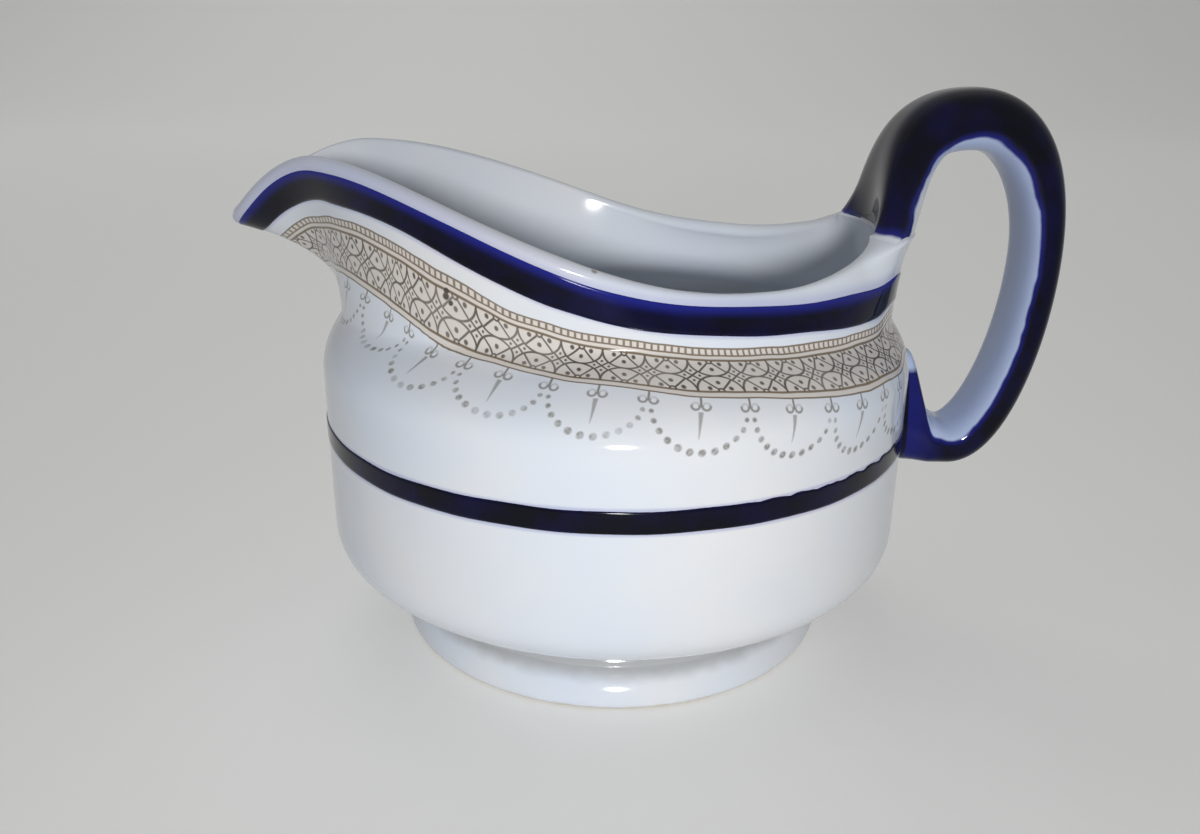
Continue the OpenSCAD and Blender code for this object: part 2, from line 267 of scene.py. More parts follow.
# Rows of the body from the middle of its underside, over the lip, to the middle of its floor
bodyRows = spread("under", 0, 1, boat["underRows"])
for first, rows in enumerate(boat["outRows"]):
    bodyRows += spread("out", first, first + 1, rows)
bodyRows += spread("lip", 0, 1, boat["lipRows"])
for first, rows in zip((4, 3, 2, 1), boat["inRows"]):
    bodyRows += spread("in", first, first - 1, rows)
bodyRows += spread("floor", 0, 1, boat["floorRows"]) + [("floor", 1)]
rowMakers = {
    "under": lambda a, t: meridian(a)[0] * base * t + upright * boat["footH"],
    "out": outside, "lip": lipAt, "in": inside, "floor": floorAt,
}


def bodyPlace(u, row):
    kind, t = bodyRows[row]
    return rowMakers[kind](360 * u, t)


# Cobalt band under the rim: its edges in millimetres down from the lip's edge, by the angle from the handle
rimBand = {
    "top": ((0, 9.2), (20, 7.4), (27, 6.1), (33, 4.9), (40, 3.6), (50, 2.5), (58, 1.9), (67, 1.4),
            (81, 1.2), (89, 1.0), (94, 0.6), (100, 0.3), (107, 0.1), (180, 0.1)),
    "low": ((0, 15.6), (20, 14.2), (27, 13.0), (33, 11.6), (40, 10.2), (51, 8.4), (59, 7.9), (67, 7.4),
            (81, 7.2), (89, 7.4), (94, 7.7), (100, 7.4), (107, 7.0), (115, 6.4), (123, 6.5), (132, 7.2),
            (146, 6.9), (180, 6.3)),
    "waves": ((7, 0.12, 0), (17, 0.08, 40)), "topWave": 0.5, "topLeast": 0.05, "columns": 288,
}
runSteps = 60  # steps down the outside for each unit of t


# Distance down the outside from the lip's edge, at even steps of t from 4 to 2
@lru_cache(maxsize=None)
def downRun(a):
    run, last = [0.0], outside(a, 4)
    for i in range(1, 2 * runSteps + 1):
        p = outside(a, 4 - i / runSteps)
        run.append(run[-1] + (p - last).length)
        last = p
    return run


def distanceAt(a, t):
    run = downRun(a)
    if t <= 2:
        return run[-1] + (2 - t) * (boat["shoulderZ"] - boat["flankZ"])
    i = min(int((4 - t) * runSteps), 2 * runSteps - 1)
    return mix(run[i], run[i + 1], (4 - t) * runSteps - i)


def atDistance(a, distance):
    run = downRun(a)
    i = max(0, min(sum(d < distance for d in run) - 1, 2 * runSteps - 1))
    return 4 - (i + (distance - run[i]) / (run[i + 1] - run[i])) / runSteps


@lru_cache(maxsize=None)
def bandEdges(a):
    return [through(rimBand[edge], fromHandle(a)) for edge in ("top", "low")]


# Printed border under the rim band: a plain lattice of fans with a ladder edge, bead swags and drops.
# The transfer was laid by hand: top and height in millimetres by the angle from the handle,
# lean in repeats per millimetre and shift in repeats
border = {
    "top": ((0, 16.4), (27, 14.3), (33, 13.1), (40, 11.8), (50, 10.5), (60, 9.9), (70, 9.3), (80, 9.2),
            (88, 10.3), (93, 10.8), (99, 11.5), (105, 10.5), (111, 10.0), (117, 9.2), (124, 9.1), (131, 9.9),
            (140, 10.6), (152, 9.9), (180, 9.7)),
    "height": ((0, 11), (37, 11.6), (45, 12.6), (56, 12.7), (65, 12.1), (75, 12.0), (83, 11.0), (93, 11.3),
               (100, 11.6), (105, 13.8), (110, 14.8), (116, 14.0), (123, 13.2), (130, 12.3), (180, 11.5)),
    "lean": ((0, 0), (40, 0.042), (61, 0.037), (73, 0.026), (85, 0.017), (98, 0.01), (110, 0.02),
             (119, 0.07), (130, 0.08), (180, 0)),
    "shift": ((0, 0), (41, 0.06), (48, 0.07), (55, 0.03), (67, -0.03), (79, -0.02), (92, -0.04), (98, -0.01),
              (104, 0.09), (110, 0.2), (115, 0.06), (119, -0.3), (126, -0.3), (150, -0.1), (180, 0)),
    "repeats": 44, "phase": -0.8, "drift": 0.272, "middle": 6, "foot": 10.75, "leanTo": 14, "steps": 720,
    "shake": 0.09, "lines": ((0.02, 0.09), (1.22, 0.09), (2.2, 0.17), (9.45, 0.16), (10.65, 0.1)),
    "ruled": (-1, 12), "soft": 0.12, "ladder": 1.22, "squares": 6, "rung": (0.13, 0.23), "rungShare": 0.9,
    "latticeMid": 5.85, "latticeHalf": 3.5, "stroke": (0.11, 0.26), "ringRadius": 0.55, "rayAngle": 46,
    "crossAngle": 37, "fanDots": ((0, 1.95, 0.4), (1.95, 0.66, 0.4)),
    "crossDots": ((1.4, 0, 0.24), (0, 1.12, 0.24)), "dotEdge": (-0.08, 0.14),
    "stem": (0.15, 2.2), "scroll": (1.05, 2.05, 0.78), "scrollStroke": (0.14, 0.36),
    "scrollShare": (0.3, 0.9), "drop": (3.4, 8.4, 0.46), "dropTip": 0.04, "dropShare": 0.75, "widen": 1.14,
    "swag": {"middle": 3.5, "width": 9.0, "depth": 7.5, "step": 15, "bead": (0.46, 0.28),
             "edge": (-0.22, 0.14), "lost": (0.32, 0.45, 0.55, 1), "grain": (0.35, 0.6, 0.6, 1)},
    "blots": ((251.9, 13.4, 0.62), (251.8, 14.5, 0.72), (252.5, 15.4, 0.55)), "blotEdge": (0.8, 1.2),
    "ink": "#4A4037", "rule": "#75654F", "ground": "#DACFC3", "bead": "#878581",
    "tint": {"ground": 0.72, "rule": 0.94, "ink": 0.94, "bead": 0.94},
}


@lru_cache(maxsize=None)
def borderTop(a):
    return through(border["top"], fromHandle(a))


def borderMiddle(a):
    return outside(a, atDistance(a, borderTop(a) + border["middle"]))


borderLine = [borderMiddle(360 * i / border["steps"]) for i in range(border["steps"] + 1)]
borderRun = [0.0]
for p, q in zip(borderLine, borderLine[1:]):
    borderRun.append(borderRun[-1] + (q - p).length)
pitch = borderRun[-1] / border["repeats"]
print("border:", round(borderRun[-1], 1), "mm round, repeat", round(pitch, 2), "mm")


def borderAlong(u):
    steps = border["steps"]
    i = min(int(u * steps), steps - 1)
    share = mix(borderRun[i], borderRun[i + 1], u * steps - i) / borderRun[-1]
    return share * border["repeats"] + border["drift"] * cos(2 * pi * share) + border["phase"]


unprinted = {"under": 200, "in": -50, "floor": -50}  # millimetres down that keep the print off


# "border" holds repeats along and millimetres down, "rim" millimetres below and above the rim band
def bodyMaps(u, row):
    a = 360 * u
    d, near = fromHandle(a), a > 180
    kind, t = bodyRows[row]
    if kind == "out":
        down = distanceAt(a, t)
    else:
        down = -pi / 2 * boat["lipRound"] * t if kind == "lip" else unprinted[kind]
    top, low = bandEdges(a)
    height, foot = through(border["height"], d), border["foot"]
    fall = (down - borderTop(a)) * foot / height
    if fall > foot:
        fall = foot + down - borderTop(a) - height
    lean = through(border["lean"], d) * (1 if near else -1)
    along = borderAlong(u) + (through(border["shift"], d) if near else 0)
    hang = min(border["leanTo"], max(0, fall - foot))
    return {"border": (along + lean * hang, fall), "rim": (down - low, top - down)}


# Place on the print, repeats along and millimetres down, with an engraver's unsteady hand
def printPlace(add, here):
    spot = add("SeparateXYZ", [add("UVMap", uv_map="border")])
    wander = add("TexNoise", {"Vector": here, "Scale": 1 / 0.007, "Detail": 1})  # 7 mm
    shake = add("MapRange", [wander, 0.3, 0.7, -border["shake"], border["shake"]])
    along = add("Math", [spot.outputs[0], add("Math", [shake, 1 / pitch], operation="MULTIPLY")])
    return along, add("Math", [spot.outputs[1], shake])


# Millimetres from the nearest of the nodes that stand so many repeats apart
def fromNode(add, along, repeats, scale):
    turned = add("Math", [along, repeats / 2, -repeats / 2], operation="WRAP")
    return add("Math", [add("Math", [turned], operation="ABSOLUTE"), pitch * scale], operation="MULTIPLY")


# Ruled lines that run right round, and a ladder of small squares along the top
def drawRules(add, along, down):
    first, last = border["ruled"]
    ruled = add("ValToRGB", [add("MapRange", [down, first, last, 0, 1])])
    ramp, soft = ruled.color_ramp.elements, border["soft"]
    ramp.remove(ramp[1])
    ramp[0].color = (0, 0, 0, 1)
    for centre, width in border["lines"]:
        for off, ink in ((-width - soft, 0), (-width, 1), (width, 1), (width + soft, 0)):
            ramp.new((centre + off - first) / (last - first)).color = (ink, ink, ink, 1)
    rung = add("Math", [along, border["squares"]], operation="MULTIPLY")
    rung = add("Math", [add("Math", [rung, 0.5, -0.5], operation="WRAP")], operation="ABSOLUTE")
    rungInk = add("MapRange", [rung, *border["rung"], border["rungShare"], 0])
    for start, end, before, after in ((0, 0.08, 0, 1), (border["ladder"], border["ladder"] + 0.08, 1, 0)):
        onLadder = add("MapRange", [down, start, end, before, after])
        rungInk = add("Math", [rungInk, onLadder], operation="MULTIPLY")
    return add("Math", [rungInk, ruled], operation="MAXIMUM")


# Lattice: half-ellipse fans on both edges, a ring and two rays in each, a cross between them, and dots
def drawLattice(add, nodeX, down):
    half, ringRadius = border["latticeHalf"], border["ringRadius"]
    midY = add("Math", [down, border["latticeMid"]], operation="SUBTRACT")
    midY = add("Math", [midY], operation="ABSOLUTE")
    fan = add("CombineXYZ", [add("Math", [pitch / 2, nodeX], operation="SUBTRACT"),
                             add("Math", [half, midY], operation="SUBTRACT")])
    node = add("CombineXYZ", [nodeX, midY])
    oval = add("VectorMath", [fan, (2 / pitch, 1 / half, 0)], operation="MULTIPLY")
    oval = add("VectorMath", [oval], operation="LENGTH").outputs[1]
    arc = add("Math", [add("Math", [oval, 1], operation="SUBTRACT")], operation="ABSOLUTE")
    arc = add("Math", [arc, half], operation="MULTIPLY")
    fromHub = add("VectorMath", [fan], operation="LENGTH").outputs[1]
    hubRing = add("Math", [add("Math", [fromHub, ringRadius], operation="SUBTRACT")], operation="ABSOLUTE")
    outFan = add("Math", [oval, 1], operation="GREATER_THAN")
    inFan = add("Math", [1, outFan], operation="SUBTRACT")
    inHub = add("Math", [fromHub, ringRadius], operation="LESS_THAN")
    slant = radians(border["rayAngle"])
    ray = add("VectorMath", [fan, (cos(slant), -sin(slant), 0)], operation="DOT_PRODUCT").outputs[1]
    ray = add("Math", [add("Math", [ray], operation="ABSOLUTE"), add("Math", [outFan, inHub])])
    slant = radians(border["crossAngle"])
    cross = add("VectorMath", [node, (sin(slant), -cos(slant), 0)], operation="DOT_PRODUCT").outputs[1]
    cross = add("Math", [add("Math", [cross], operation="ABSOLUTE"), inFan])
    line = arc
    for other in (hubRing, ray, cross):
        line = add("Math", [line, other], operation="MINIMUM")
    ink = add("MapRange", [line, *border["stroke"], 1, 0])
    for centre, dots in ((fan, border["fanDots"]), (node, border["crossDots"])):
        for x, y, size in dots:
            off = add("VectorMath", [centre, (x, y, 0)], operation="DISTANCE").outputs[1]
            dot = add("MapRange", [off, *[size + edge for edge in border["dotEdge"]], 1, 0])
            ink = add("Math", [ink, dot], operation="MAXIMUM")
    inLattice = add("MapRange", [midY, half, half + 0.05, 1, 0])
    return add("Math", [ink, inLattice], operation="MULTIPLY")


# A stem and two scrolls under each node, a drop under every other one
def drawPendants(add, nodeX, pairX, below):
    stemWidth, stemEnd = border["stem"]
    stem = add("Math", [add("MapRange", [nodeX, stemWidth, stemWidth + 0.12, 1, 0]),
                        add("MapRange", [below, stemEnd, stemEnd + 0.2, 1, 0])], operation="MULTIPLY")
    scrollX, scrollY, scrollRadius = border["scroll"]
    hang = add("CombineXYZ", [add("Math", [nodeX, border["widen"]], operation="MULTIPLY"), below])
    curl = add("VectorMath", [hang, (scrollX, scrollY, 0)], operation="DISTANCE").outputs[1]
    curl = add("Math", [add("Math", [curl, scrollRadius], operation="SUBTRACT")], operation="ABSOLUTE")
    # faint at the open top
    cup = add("MapRange", [below, scrollY - 0.5, scrollY - 0.1, *border["scrollShare"]])
    scroll = add("Math", [add("MapRange", [curl, *border["scrollStroke"], 1, 0]), cup], operation="MULTIPLY")
    dropTop, dropEnd, dropWidth = border["drop"]
    dropSide = add("MapRange", [below, dropTop, dropEnd, dropWidth, border["dropTip"]])
    drop = add("Math", [pairX, dropSide], operation="SUBTRACT")
    drop = add("MapRange", [drop, -0.1, 0.16, border["dropShare"], 0])
    for start, end, before, after in ((dropTop - 0.15, dropTop, 0, 1), (dropEnd, dropEnd + 0.3, 1, 0)):
        drop = add("Math", [drop, add("MapRange", [below, start, end, before, after])], operation="MULTIPLY")
    pendant = add("Math", [add("Math", [stem, scroll], operation="MAXIMUM"), drop], operation="MAXIMUM")
    return add("Math", [pendant, add("Math", [below, 0], operation="GREATER_THAN")], operation="MULTIPLY")


# Swags of beads on half-ellipses between every other node
def drawSwags(add, here, pairX, below):
    swag = border["swag"]
    width, depth, step = swag["width"], swag["depth"], radians(swag["step"])
    swagY = add("Math", [below, swag["middle"]], operation="SUBTRACT")
    angle = add("Math", [add("Math", [swagY, depth], operation="DIVIDE"),
                         add("Math", [pairX, width], operation="DIVIDE")], operation="ARCTAN2")
    beadAngle = add("Math", [add("Math", [angle, step], operation="SNAP"), step / 2])
    side = add("Math", [beadAngle], operation="COSINE")
    lift = add("Math", [beadAngle], operation="SINE")
    centre = add("CombineXYZ", [add("Math", [side, width], operation="MULTIPLY"),
                                add("Math", [lift, depth], operation="MULTIPLY")])
    off = add("VectorMath", [centre, add("CombineXYZ", [pairX, swagY])], operation="DISTANCE").outputs[1]
    smallest, growth = swag["bead"]
    size = add("Math", [lift, growth, smallest], operation="MULTIPLY_ADD")
    bead = add("MapRange", [add("Math", [off, size], operation="SUBTRACT"), *swag["edge"], 1, 0])
    lost = add("TexNoise", {"Vector": here, "Scale": 1 / 0.006, "Detail": 0})  # beads lost from the transfer
    grain = add("TexNoise", {"Vector": here, "Scale": 1 / 0.0007, "Detail": 1})  # dotted engraving, 0.7 mm
    for share in (add("MapRange", [lost, *swag["lost"]]), add("MapRange", [grain, *swag["grain"]]),
                  add("Math", [swagY, -0.2], operation="GREATER_THAN")):
        bead = add("Math", [bead, share], operation="MULTIPLY")
    return bead


# Masks of the print, each 0 to 1: tinted ground, ruled lines, lattice and what hangs below
def drawBorder(add, here):
    along, down = printPlace(add, here)
    nodeX, pairX = fromNode(add, along, 1, 1), fromNode(add, along, 2, border["widen"])
    below = add("Math", [down, border["foot"]], operation="SUBTRACT")
    worn = add("TexNoise", {"Vector": here, "Scale": 1 / 0.012, "Detail": 3})  # uneven lift of the print
    ink = add("Math", [drawLattice(add, nodeX, down), add("MapRange", [worn, 0.3, 0.6, 0.75, 1])],
              operation="MULTIPLY")
    for angle, distance, size in border["blots"]:  # ink that ran in the kiln
        p = outside(angle, atDistance(angle, distance)) + Vector((axisShift, 0, 0))
        off = add("VectorMath", [here, p * mm], operation="DISTANCE").outputs[1]
        blot = add("MapRange", [off, *[size * share * mm for share in border["blotEdge"]], 1, 0])
        ink = add("Math", [ink, blot], operation="MAXIMUM")
    ground = add("Math", [add("MapRange", [down, 0, 0.1, 0, 1]), add("MapRange", [below, -0.1, 0, 1, 0])],
                 operation="MULTIPLY")
    hanging = add("Math", [drawSwags(add, here, pairX, below), drawPendants(add, nodeX, pairX, below)],
                  operation="MAXIMUM")
    return {"ground": ground, "rule": drawRules(add, along, down), "ink": ink, "bead": hanging}


# Fired glaze: a glassy, slightly wavy skin with a few pinholes; light sits on it in sharp spots
glaze = {"ior": 1.5, "wave": 22, "waveDepth": 0.10, "pinholes": 9, "pinholeSize": 0.045, "pinholeDepth": -0.6,
         "smear": 30, "rough": (0.07, 0.16)}


def glazeShader(add, here, colour, specular=0.5):
    wave = add("TexNoise", {"Vector": here, "Scale": 1000 / glaze["wave"], "Detail": 1.5})
    pin = add("TexVoronoi", {"Vector": here, "Scale": 1000 / glaze["pinholes"]})
    pit = add("MapRange", [pin, 0, glaze["pinholeSize"], glaze["pinholeDepth"], 0],
              interpolation_type="SMOOTHSTEP")
    height = add("Math", [wave, pit])
    bump = add("Bump", {"Height": height, "Strength": 0.5, "Distance": glaze["waveDepth"] * mm})
    smear = add("TexNoise", {"Vector": here, "Scale": 1000 / glaze["smear"], "Detail": 4})  # handling marks
    rough = add("MapRange", [smear, 0.35, 0.7, *glaze["rough"]])
    return add("BsdfPrincipled", {"Base Color": colour, "Roughness": rough, "IOR": glaze["ior"],
                                  "Normal": bump, "Specular IOR Level": specular})


# White glaze on the body: cool white, with blue drawn out of the bands and the brown print under it
whiteGlaze = {"cool": "#DCE4F0", "warm": "#E7E9EC", "haze": "#7F86C6", "hazeBelow": 0.7, "hazeAbove": 2.8,
              "hazeShare": 0.4, "waist": (48.4, 53.2), "speck": "#8C8274"}


def waistHaze(add, here):
    low, high = whiteGlaze["waist"]
    half = (high - low) / 2
    z = add("SeparateXYZ", [here]).outputs[2]
    off = add("Math", [add("Math", [z, (low + half) * mm], operation="SUBTRACT")], operation="ABSOLUTE")
    return add("MapRange", [off, half * mm, (half + whiteGlaze["hazeBelow"]) * mm, 1, 0],
               interpolation_type="SMOOTHSTEP")


def whiteGround(add, here):
    cloud = add("TexNoise", {"Vector": here, "Scale": 1 / 0.05, "Detail": 3})  # 50 mm clouds in the glaze
    return add("Mix", {"Factor": add("MapRange", [cloud, 0.35, 0.65, 0, 1]), 6: linear(whiteGlaze["cool"]),
                       7: linear(whiteGlaze["warm"])}, data_type="RGBA").outputs[2]


material, add = newMaterial("tinWhiteGlaze")
here = add("TexCoord").outputs["Object"]
colour = whiteGround(add, here)
for paint, mask in drawBorder(add, here).items():
    share = add("Math", [mask, border["tint"][paint]], operation="MULTIPLY")
    colour = add("Mix", {"Factor": share, 6: colour, 7: linear(border[paint])}, data_type="RGBA").outputs[2]
rimPlace = add("SeparateXYZ", [add("UVMap", uv_map="rim")])
hazes = [add("MapRange", [rimPlace.outputs[i], -0.3, whiteGlaze[width], 1, 0],
             interpolation_type="SMOOTHSTEP") for i, width in enumerate(("hazeBelow", "hazeAbove"))]
onOutside = add("Math", [rimPlace.outputs[0], -30], operation="GREATER_THAN")  # the inside lies past it
haze = add("Math", [add("Math", hazes, operation="MULTIPLY"), waistHaze(add, here)], operation="MAXIMUM")
for share in (onOutside, whiteGlaze["hazeShare"]):
    haze = add("Math", [haze, share], operation="MULTIPLY")
colour = add("Mix", {"Factor": haze, 6: colour, 7: linear(whiteGlaze["haze"])}, data_type="RGBA").outputs[2]
speckle = add("TexVoronoi", {"Vector": here, "Scale": 1 / 0.034})  # iron specks, one in about 34 mm
speck = add("MapRange", [speckle, 0.012, 0.022, 0.8, 0])
colour = add("Mix", {"Factor": speck, 6: colour, 7: linear(whiteGlaze["speck"])}, data_type="RGBA").outputs[2]
add("OutputMaterial", [glazeShader(add, here, colour)])
bm = layGrid(boat["columns"], len(bodyRows) - 1, bodyPlace, bodyMaps)
finishPiece(bm, "boatBody", material, "white_glaze", "body")

# Cobalt: a thick, nearly black blue under the glaze that thins to bright blue at its edges
cobalt = {"deep": "#020212", "mid": "#08083E", "thin": "#20268A", "specular": 0.2,
          "lowFade": (2.8, 0.9), "topFade": (0.4, 0.8)}


def cobaltColour(add, here, edge):
    streak = add("TexNoise", {"Vector": here, "Scale": 1 / 0.009, "Detail": 3})  # brush pooling, 9 mm
    darkTone = add("Mix", {"Factor": add("MapRange", [streak, 0.4, 0.75, 0, 0.8]), 6: linear(cobalt["deep"]),
                       7: linear(cobalt["mid"])}, data_type="RGBA").outputs[2]
    return add("Mix", {"Factor": edge, 6: darkTone, 7: linear(cobalt["thin"])}, data_type="RGBA").outputs[2]


cobaltBand, add = newMaterial("cobaltGlaze")
here = add("TexCoord").outputs["Object"]
across = add("SeparateXYZ", [add("UVMap", uv_map="across")])
(lowWidth, lowShare), (topWidth, topShare) = cobalt["lowFade"], cobalt["topFade"]
lowEdge = add("MapRange", [across.outputs[0], 0, lowWidth, lowShare, 0], interpolation_type="SMOOTHSTEP")
topEdge = add("MapRange", [across.outputs[1], 0, topWidth, topShare, 0])
edge = add("Math", [lowEdge, topEdge], operation="MAXIMUM")
add("OutputMaterial", [glazeShader(add, here, cobaltColour(add, here, edge), cobalt["specular"])])

# A band is a thin lens: it rises over the wall in the middle and dips under it at both edges
bandLens = {"height": 0.2, "sink": 0.1, "depth": 0.5, "flat": 16, "rows": 24}


def bandProfile(row):
    half = bandLens["rows"] // 2
    outer = row <= half
    return (row if outer else bandLens["rows"] - row) / half, outer


def bandLift(share, outer, full=1):
    bulge = (1 - abs(2 * share - 1) ** bandLens["flat"]) * full
    edge = -bandLens["sink"]
    return mix(edge, bandLens["height"], bulge) if outer else edge - bandLens["depth"] * bulge


def rimBandPlace(u, row):
    a = 360 * u
    share, outer = bandProfile(row)
    top, low = bandEdges(a)
    wave = waver(rimBand["waves"], a)
    t = atDistance(a, mix(low + wave, max(rimBand["topLeast"], top - wave * rimBand["topWave"]), share))
    return outside(a, t) + outward(a, t) * bandLift(share, outer)


def rimBandMaps(u, row):
    share = bandProfile(row)[0]
    top, low = bandEdges(360 * u)
    return {"across": ((1 - share) * (low - top), share * (low - top))}


bm = layGrid(rimBand["columns"], bandLens["rows"], rimBandPlace, rimBandMaps)
finishPiece(bm, "rimBandBlue", cobaltBand, "cobalt_glaze", "rim_band")

# Cobalt stripe round the bowl, broken where the handle's lower end sits on the wall
waistBand = {"edges": whiteGlaze["waist"], "freeAngle": 7.6, "columns": 300, "close": 90,
             "waves": ((9, 0.10, 0), (23, 0.07, 30)), "lowWave": 0.6, "shaky": (285, 352),
             "shakyFade": (20, 10), "shake": ((61, 0.2, 0), (97, 0.2, 50)), "beat": 23,
             "lowCoat": (1.3, 4), "topCoat": (0.2, 2)}


def waistPlace(u, row):
    a = mix(waistBand["freeAngle"], 360 - waistBand["freeAngle"], u)
    share, outer = bandProfile(row)
    low, high = waistBand["edges"]
    wave = waver(waistBand["waves"], a)
    even, uneven = [waver((shake,), a) for shake in waistBand["shake"]]  # an unsteady brush on one stretch
    shake = even + uneven * sin(radians(waistBand["beat"] * a))
    (start, end), (fadeIn, fadeOut) = waistBand["shaky"], waistBand["shakyFade"]
    shake *= ease((a - start) / fadeIn) * ease((end - a) / fadeOut)
    full = ease(min(u, 1 - u) * waistBand["close"])  # both ends close
    z = mix(low + wave * waistBand["lowWave"], high + wave + shake, share)
    z = mix((low + high) / 2, z, full ** 0.5)
    return Vector((cos(radians(a)), sin(radians(a)), 0)) * (bowl + bandLift(share, outer, full)) + upright * z


# The stripe's coat is thicker than the rim band's, so its blue edge is narrower
def waistMaps(u, row):
    share = bandProfile(row)[0]
    height = waistBand["edges"][1] - waistBand["edges"][0]
    (lowFirst, lowScale), (topFirst, topScale) = waistBand["lowCoat"], waistBand["topCoat"]
    return {"across": (lowFirst + (1 - share) * height * lowScale, topFirst + share * height * topScale)}


bm = layGrid(waistBand["columns"], bandLens["rows"], waistPlace, waistMaps)
finishPiece(bm, "waistBandBlue", cobaltBand, "cobalt_glaze", "waist_band")

# Loop handle: its middle line runs in four stretches, from the rim over the top to the wall
handle = {
    "slip": 0.6, "gap": 0.04, "topZ": 123, "topX": 76, "reach": 32, "wideZ": 86, "lowZ": 38.5, "lowX": 12,
    "rootPull": (0.8, 0.68), "topPull": (0.6, 0.58), "limbPull": (0.48, 0.55),
    "topT": 13, "limbT": 8.6, "lowT": 9.6, "topW": 20, "limbW": 18, "endW": 18, "endH": 26.4,
    "endTaper": 0.45, "endCurve": 1.5, "endZ": 51.7, "endGrow": (0.35, 0.55), "innerRound": (2.0, 0.45),
    "rootGrow": 2.2, "rootSink": 2, "heel": (0.9, 0.6), "soften": 0.72, "climb": 0.16, "blueFrom": 0.2,
    "flare": (1.3, 1.75, 2.3), "skirt": ((1, -0.1, 0), (0.4, 0.15, 0.5)), "skirtPull": 4, "coreT": 3.7,
    "columns": 96, "rowsEach": 36, "skirtRows": 18,
}
topX, wideZ = handle["topX"], handle["wideZ"]
landMid, rootZ = boat["mouthEndX"] - wall / 2 + boat["landDepth"] / 2, boat["landZ"] + handle["slip"]
topMid, lowMid = handle["topZ"] - handle["topT"] / 2, handle["lowZ"] + handle["lowT"] / 2
limbX, lowX = bowl + handle["reach"] - handle["limbT"] / 2, bowl + handle["lowX"]
wallX = bowl + handle["gap"] + handle["slip"]
(rootUp, rootOver), (topOut, topDown), (limbDown, limbIn) = [
    handle[pull] for pull in ("rootPull", "topPull", "limbPull")]
loopWays = [[Vector(p) for p in way] for way in (
    ((landMid, rootZ), (landMid, mix(rootZ, topMid, rootUp)),
     (mix(topX, landMid, rootOver), topMid), (topX, topMid)),
    ((topX, topMid), (mix(topX, limbX, topOut), topMid),
     (limbX, mix(wideZ, topMid, topDown)), (limbX, wideZ)),
    ((limbX, wideZ), (limbX, mix(wideZ, lowMid, limbDown)),
     (mix(lowX, limbX, limbIn), lowMid), (lowX, lowMid)))]
rootW = 2 * boat["mouthY"] * sin(radians(boat["landAngle"]))
lowW = (handle["limbW"] + handle["endW"]) / 2
halfTs = [t / 2 for t in (boat["landDepth"], *[handle[name] for name in ("topT", "limbT", "lowT", "endH")])]
halfWs = [w / 2 for w in (rootW, handle["topW"], handle["limbW"], lowW, handle["endW"])]


# Section of the handle: first across its width, then from the loop's inner face (-1) to its outer face (1)
def section(u):
    c, s = cos(2 * pi * u), sin(2 * pi * u)
    return [abs(v) ** handle["soften"] * (1 if v > 0 else -1) for v in (c, s)]


def endWidth(out):
    return 1 - handle["endTaper"] * ((1 - out) / 2) ** handle["endCurve"]


def rootPoint(across, out):
    a = boat["landAngle"] * across
    q = mouth(a) + mouthOut(a) * mix(-wall / 2, boat["landDepth"] - wall / 2, (1 - out) / 2)
    return Vector((q.x, q.y, rootZ))


rootSag = landMid - rootPoint(1, 0).x


def loopPoint(s, across, out):
    k = min(int(s), 3)
    u, sag = s - k, 0
    if k < 3:
        way = loopWays[k]
        p = bezier(way, u)
        d = (bezier(way, min(1, u + 0.01)) - bezier(way, max(0, u - 0.01))).normalized()
        grow = 1 - (1 - u) ** handle["rootGrow"] if k == 0 else ease(u)
    else:
        start, length = handle["endGrow"]
        grow, d = ease((u - start) / length), Vector((-1, 0))
        p = Vector((mix(lowX, wallX, u), mix(lowMid, handle["endZ"], grow)))
    thick = mix(halfTs[k], halfTs[k + 1], grow)
    wide = mix(halfWs[k], halfWs[k + 1], grow)
    if k == 0:
        sag = rootSag * (1 - u) ** 3
        if out < 0:
            size, length = handle["heel"]
            thick += size * ease(1 - u / length)
    if k == 3:
        wide *= mix(1, endWidth(out), grow)
        if out < 0:
            size, length = handle["innerRound"]
            thick += size * ease(u / length) * (1 - grow)
    return Vector((p.x - d.y * thick * out - sag * across ** 2, wide * across, p.y + d.x * thick * out))


# Radius of the wall under the handle's lower end, at a height
@lru_cache(maxsize=None)
def wallRadius(z):
    if z <= boat["shoulderZ"]:
        return bowl
    low, high = 2.0, 3.0
    for i in range(30):
        middle = (low + high) / 2
        low, high = (middle, high) if outside(0, middle).z < z else (low, middle)
    return outside(0, low).x


def wallPoint(across, out, gap, grown):
    y = across * (handle["endW"] / 2 + grown) * endWidth(out)
    z = handle["endZ"] - out * (handle["endH"] / 2 + grown)
    r = wallRadius(round(z, 3)) + gap
    return Vector((sqrt(r * r - y * y), y, z))


# Top of the rim by angle and place across it; past its edges, down the outside or the inside
def rimTop(a, w):
    if abs(w) <= 1:
        return lipAt(a, acos(w) / pi)
    t = atDistance(a, (abs(w) - 1) * boat["landDepth"] / 2)
    return outside(a, t) if w > 0 else inside(a, t)


# Root drawn out over the rim with a wet brush: t 0 on the rim, 1 on the handle's own surface
def skirtPoint(t, across, out):
    places = []
    for share, lift, swell in handle["skirt"]:
        alongRim, mouthSide, holeSide = [mix(1, flare, share) for flare in handle["flare"]]
        a, w = boat["landAngle"] * across * alongRim % 360, -out * (mouthSide if out > 0 else holeSide)
        p, core = rimTop(a, w), (outside(a, handle["coreT"]) + inside(a, handle["coreT"])) / 2
        places.append(p + (p - core).normalized() * (lift + swell * max(0, -out)))
    top = loopPoint(handle["climb"], across, out)
    under = top - (loopPoint(handle["climb"] + 0.02, across, out) - top).normalized() * handle["skirtPull"]
    return bezier((*places, under, top), t)


loopRows = ([("root", 0), ("root", 0.6)] + spread("skirt", 0, 1, handle["skirtRows"])
            + spread("way", handle["climb"], 4, 4 * handle["rowsEach"])
            + [("end", 1), ("end", 0.5), ("end", 0)])


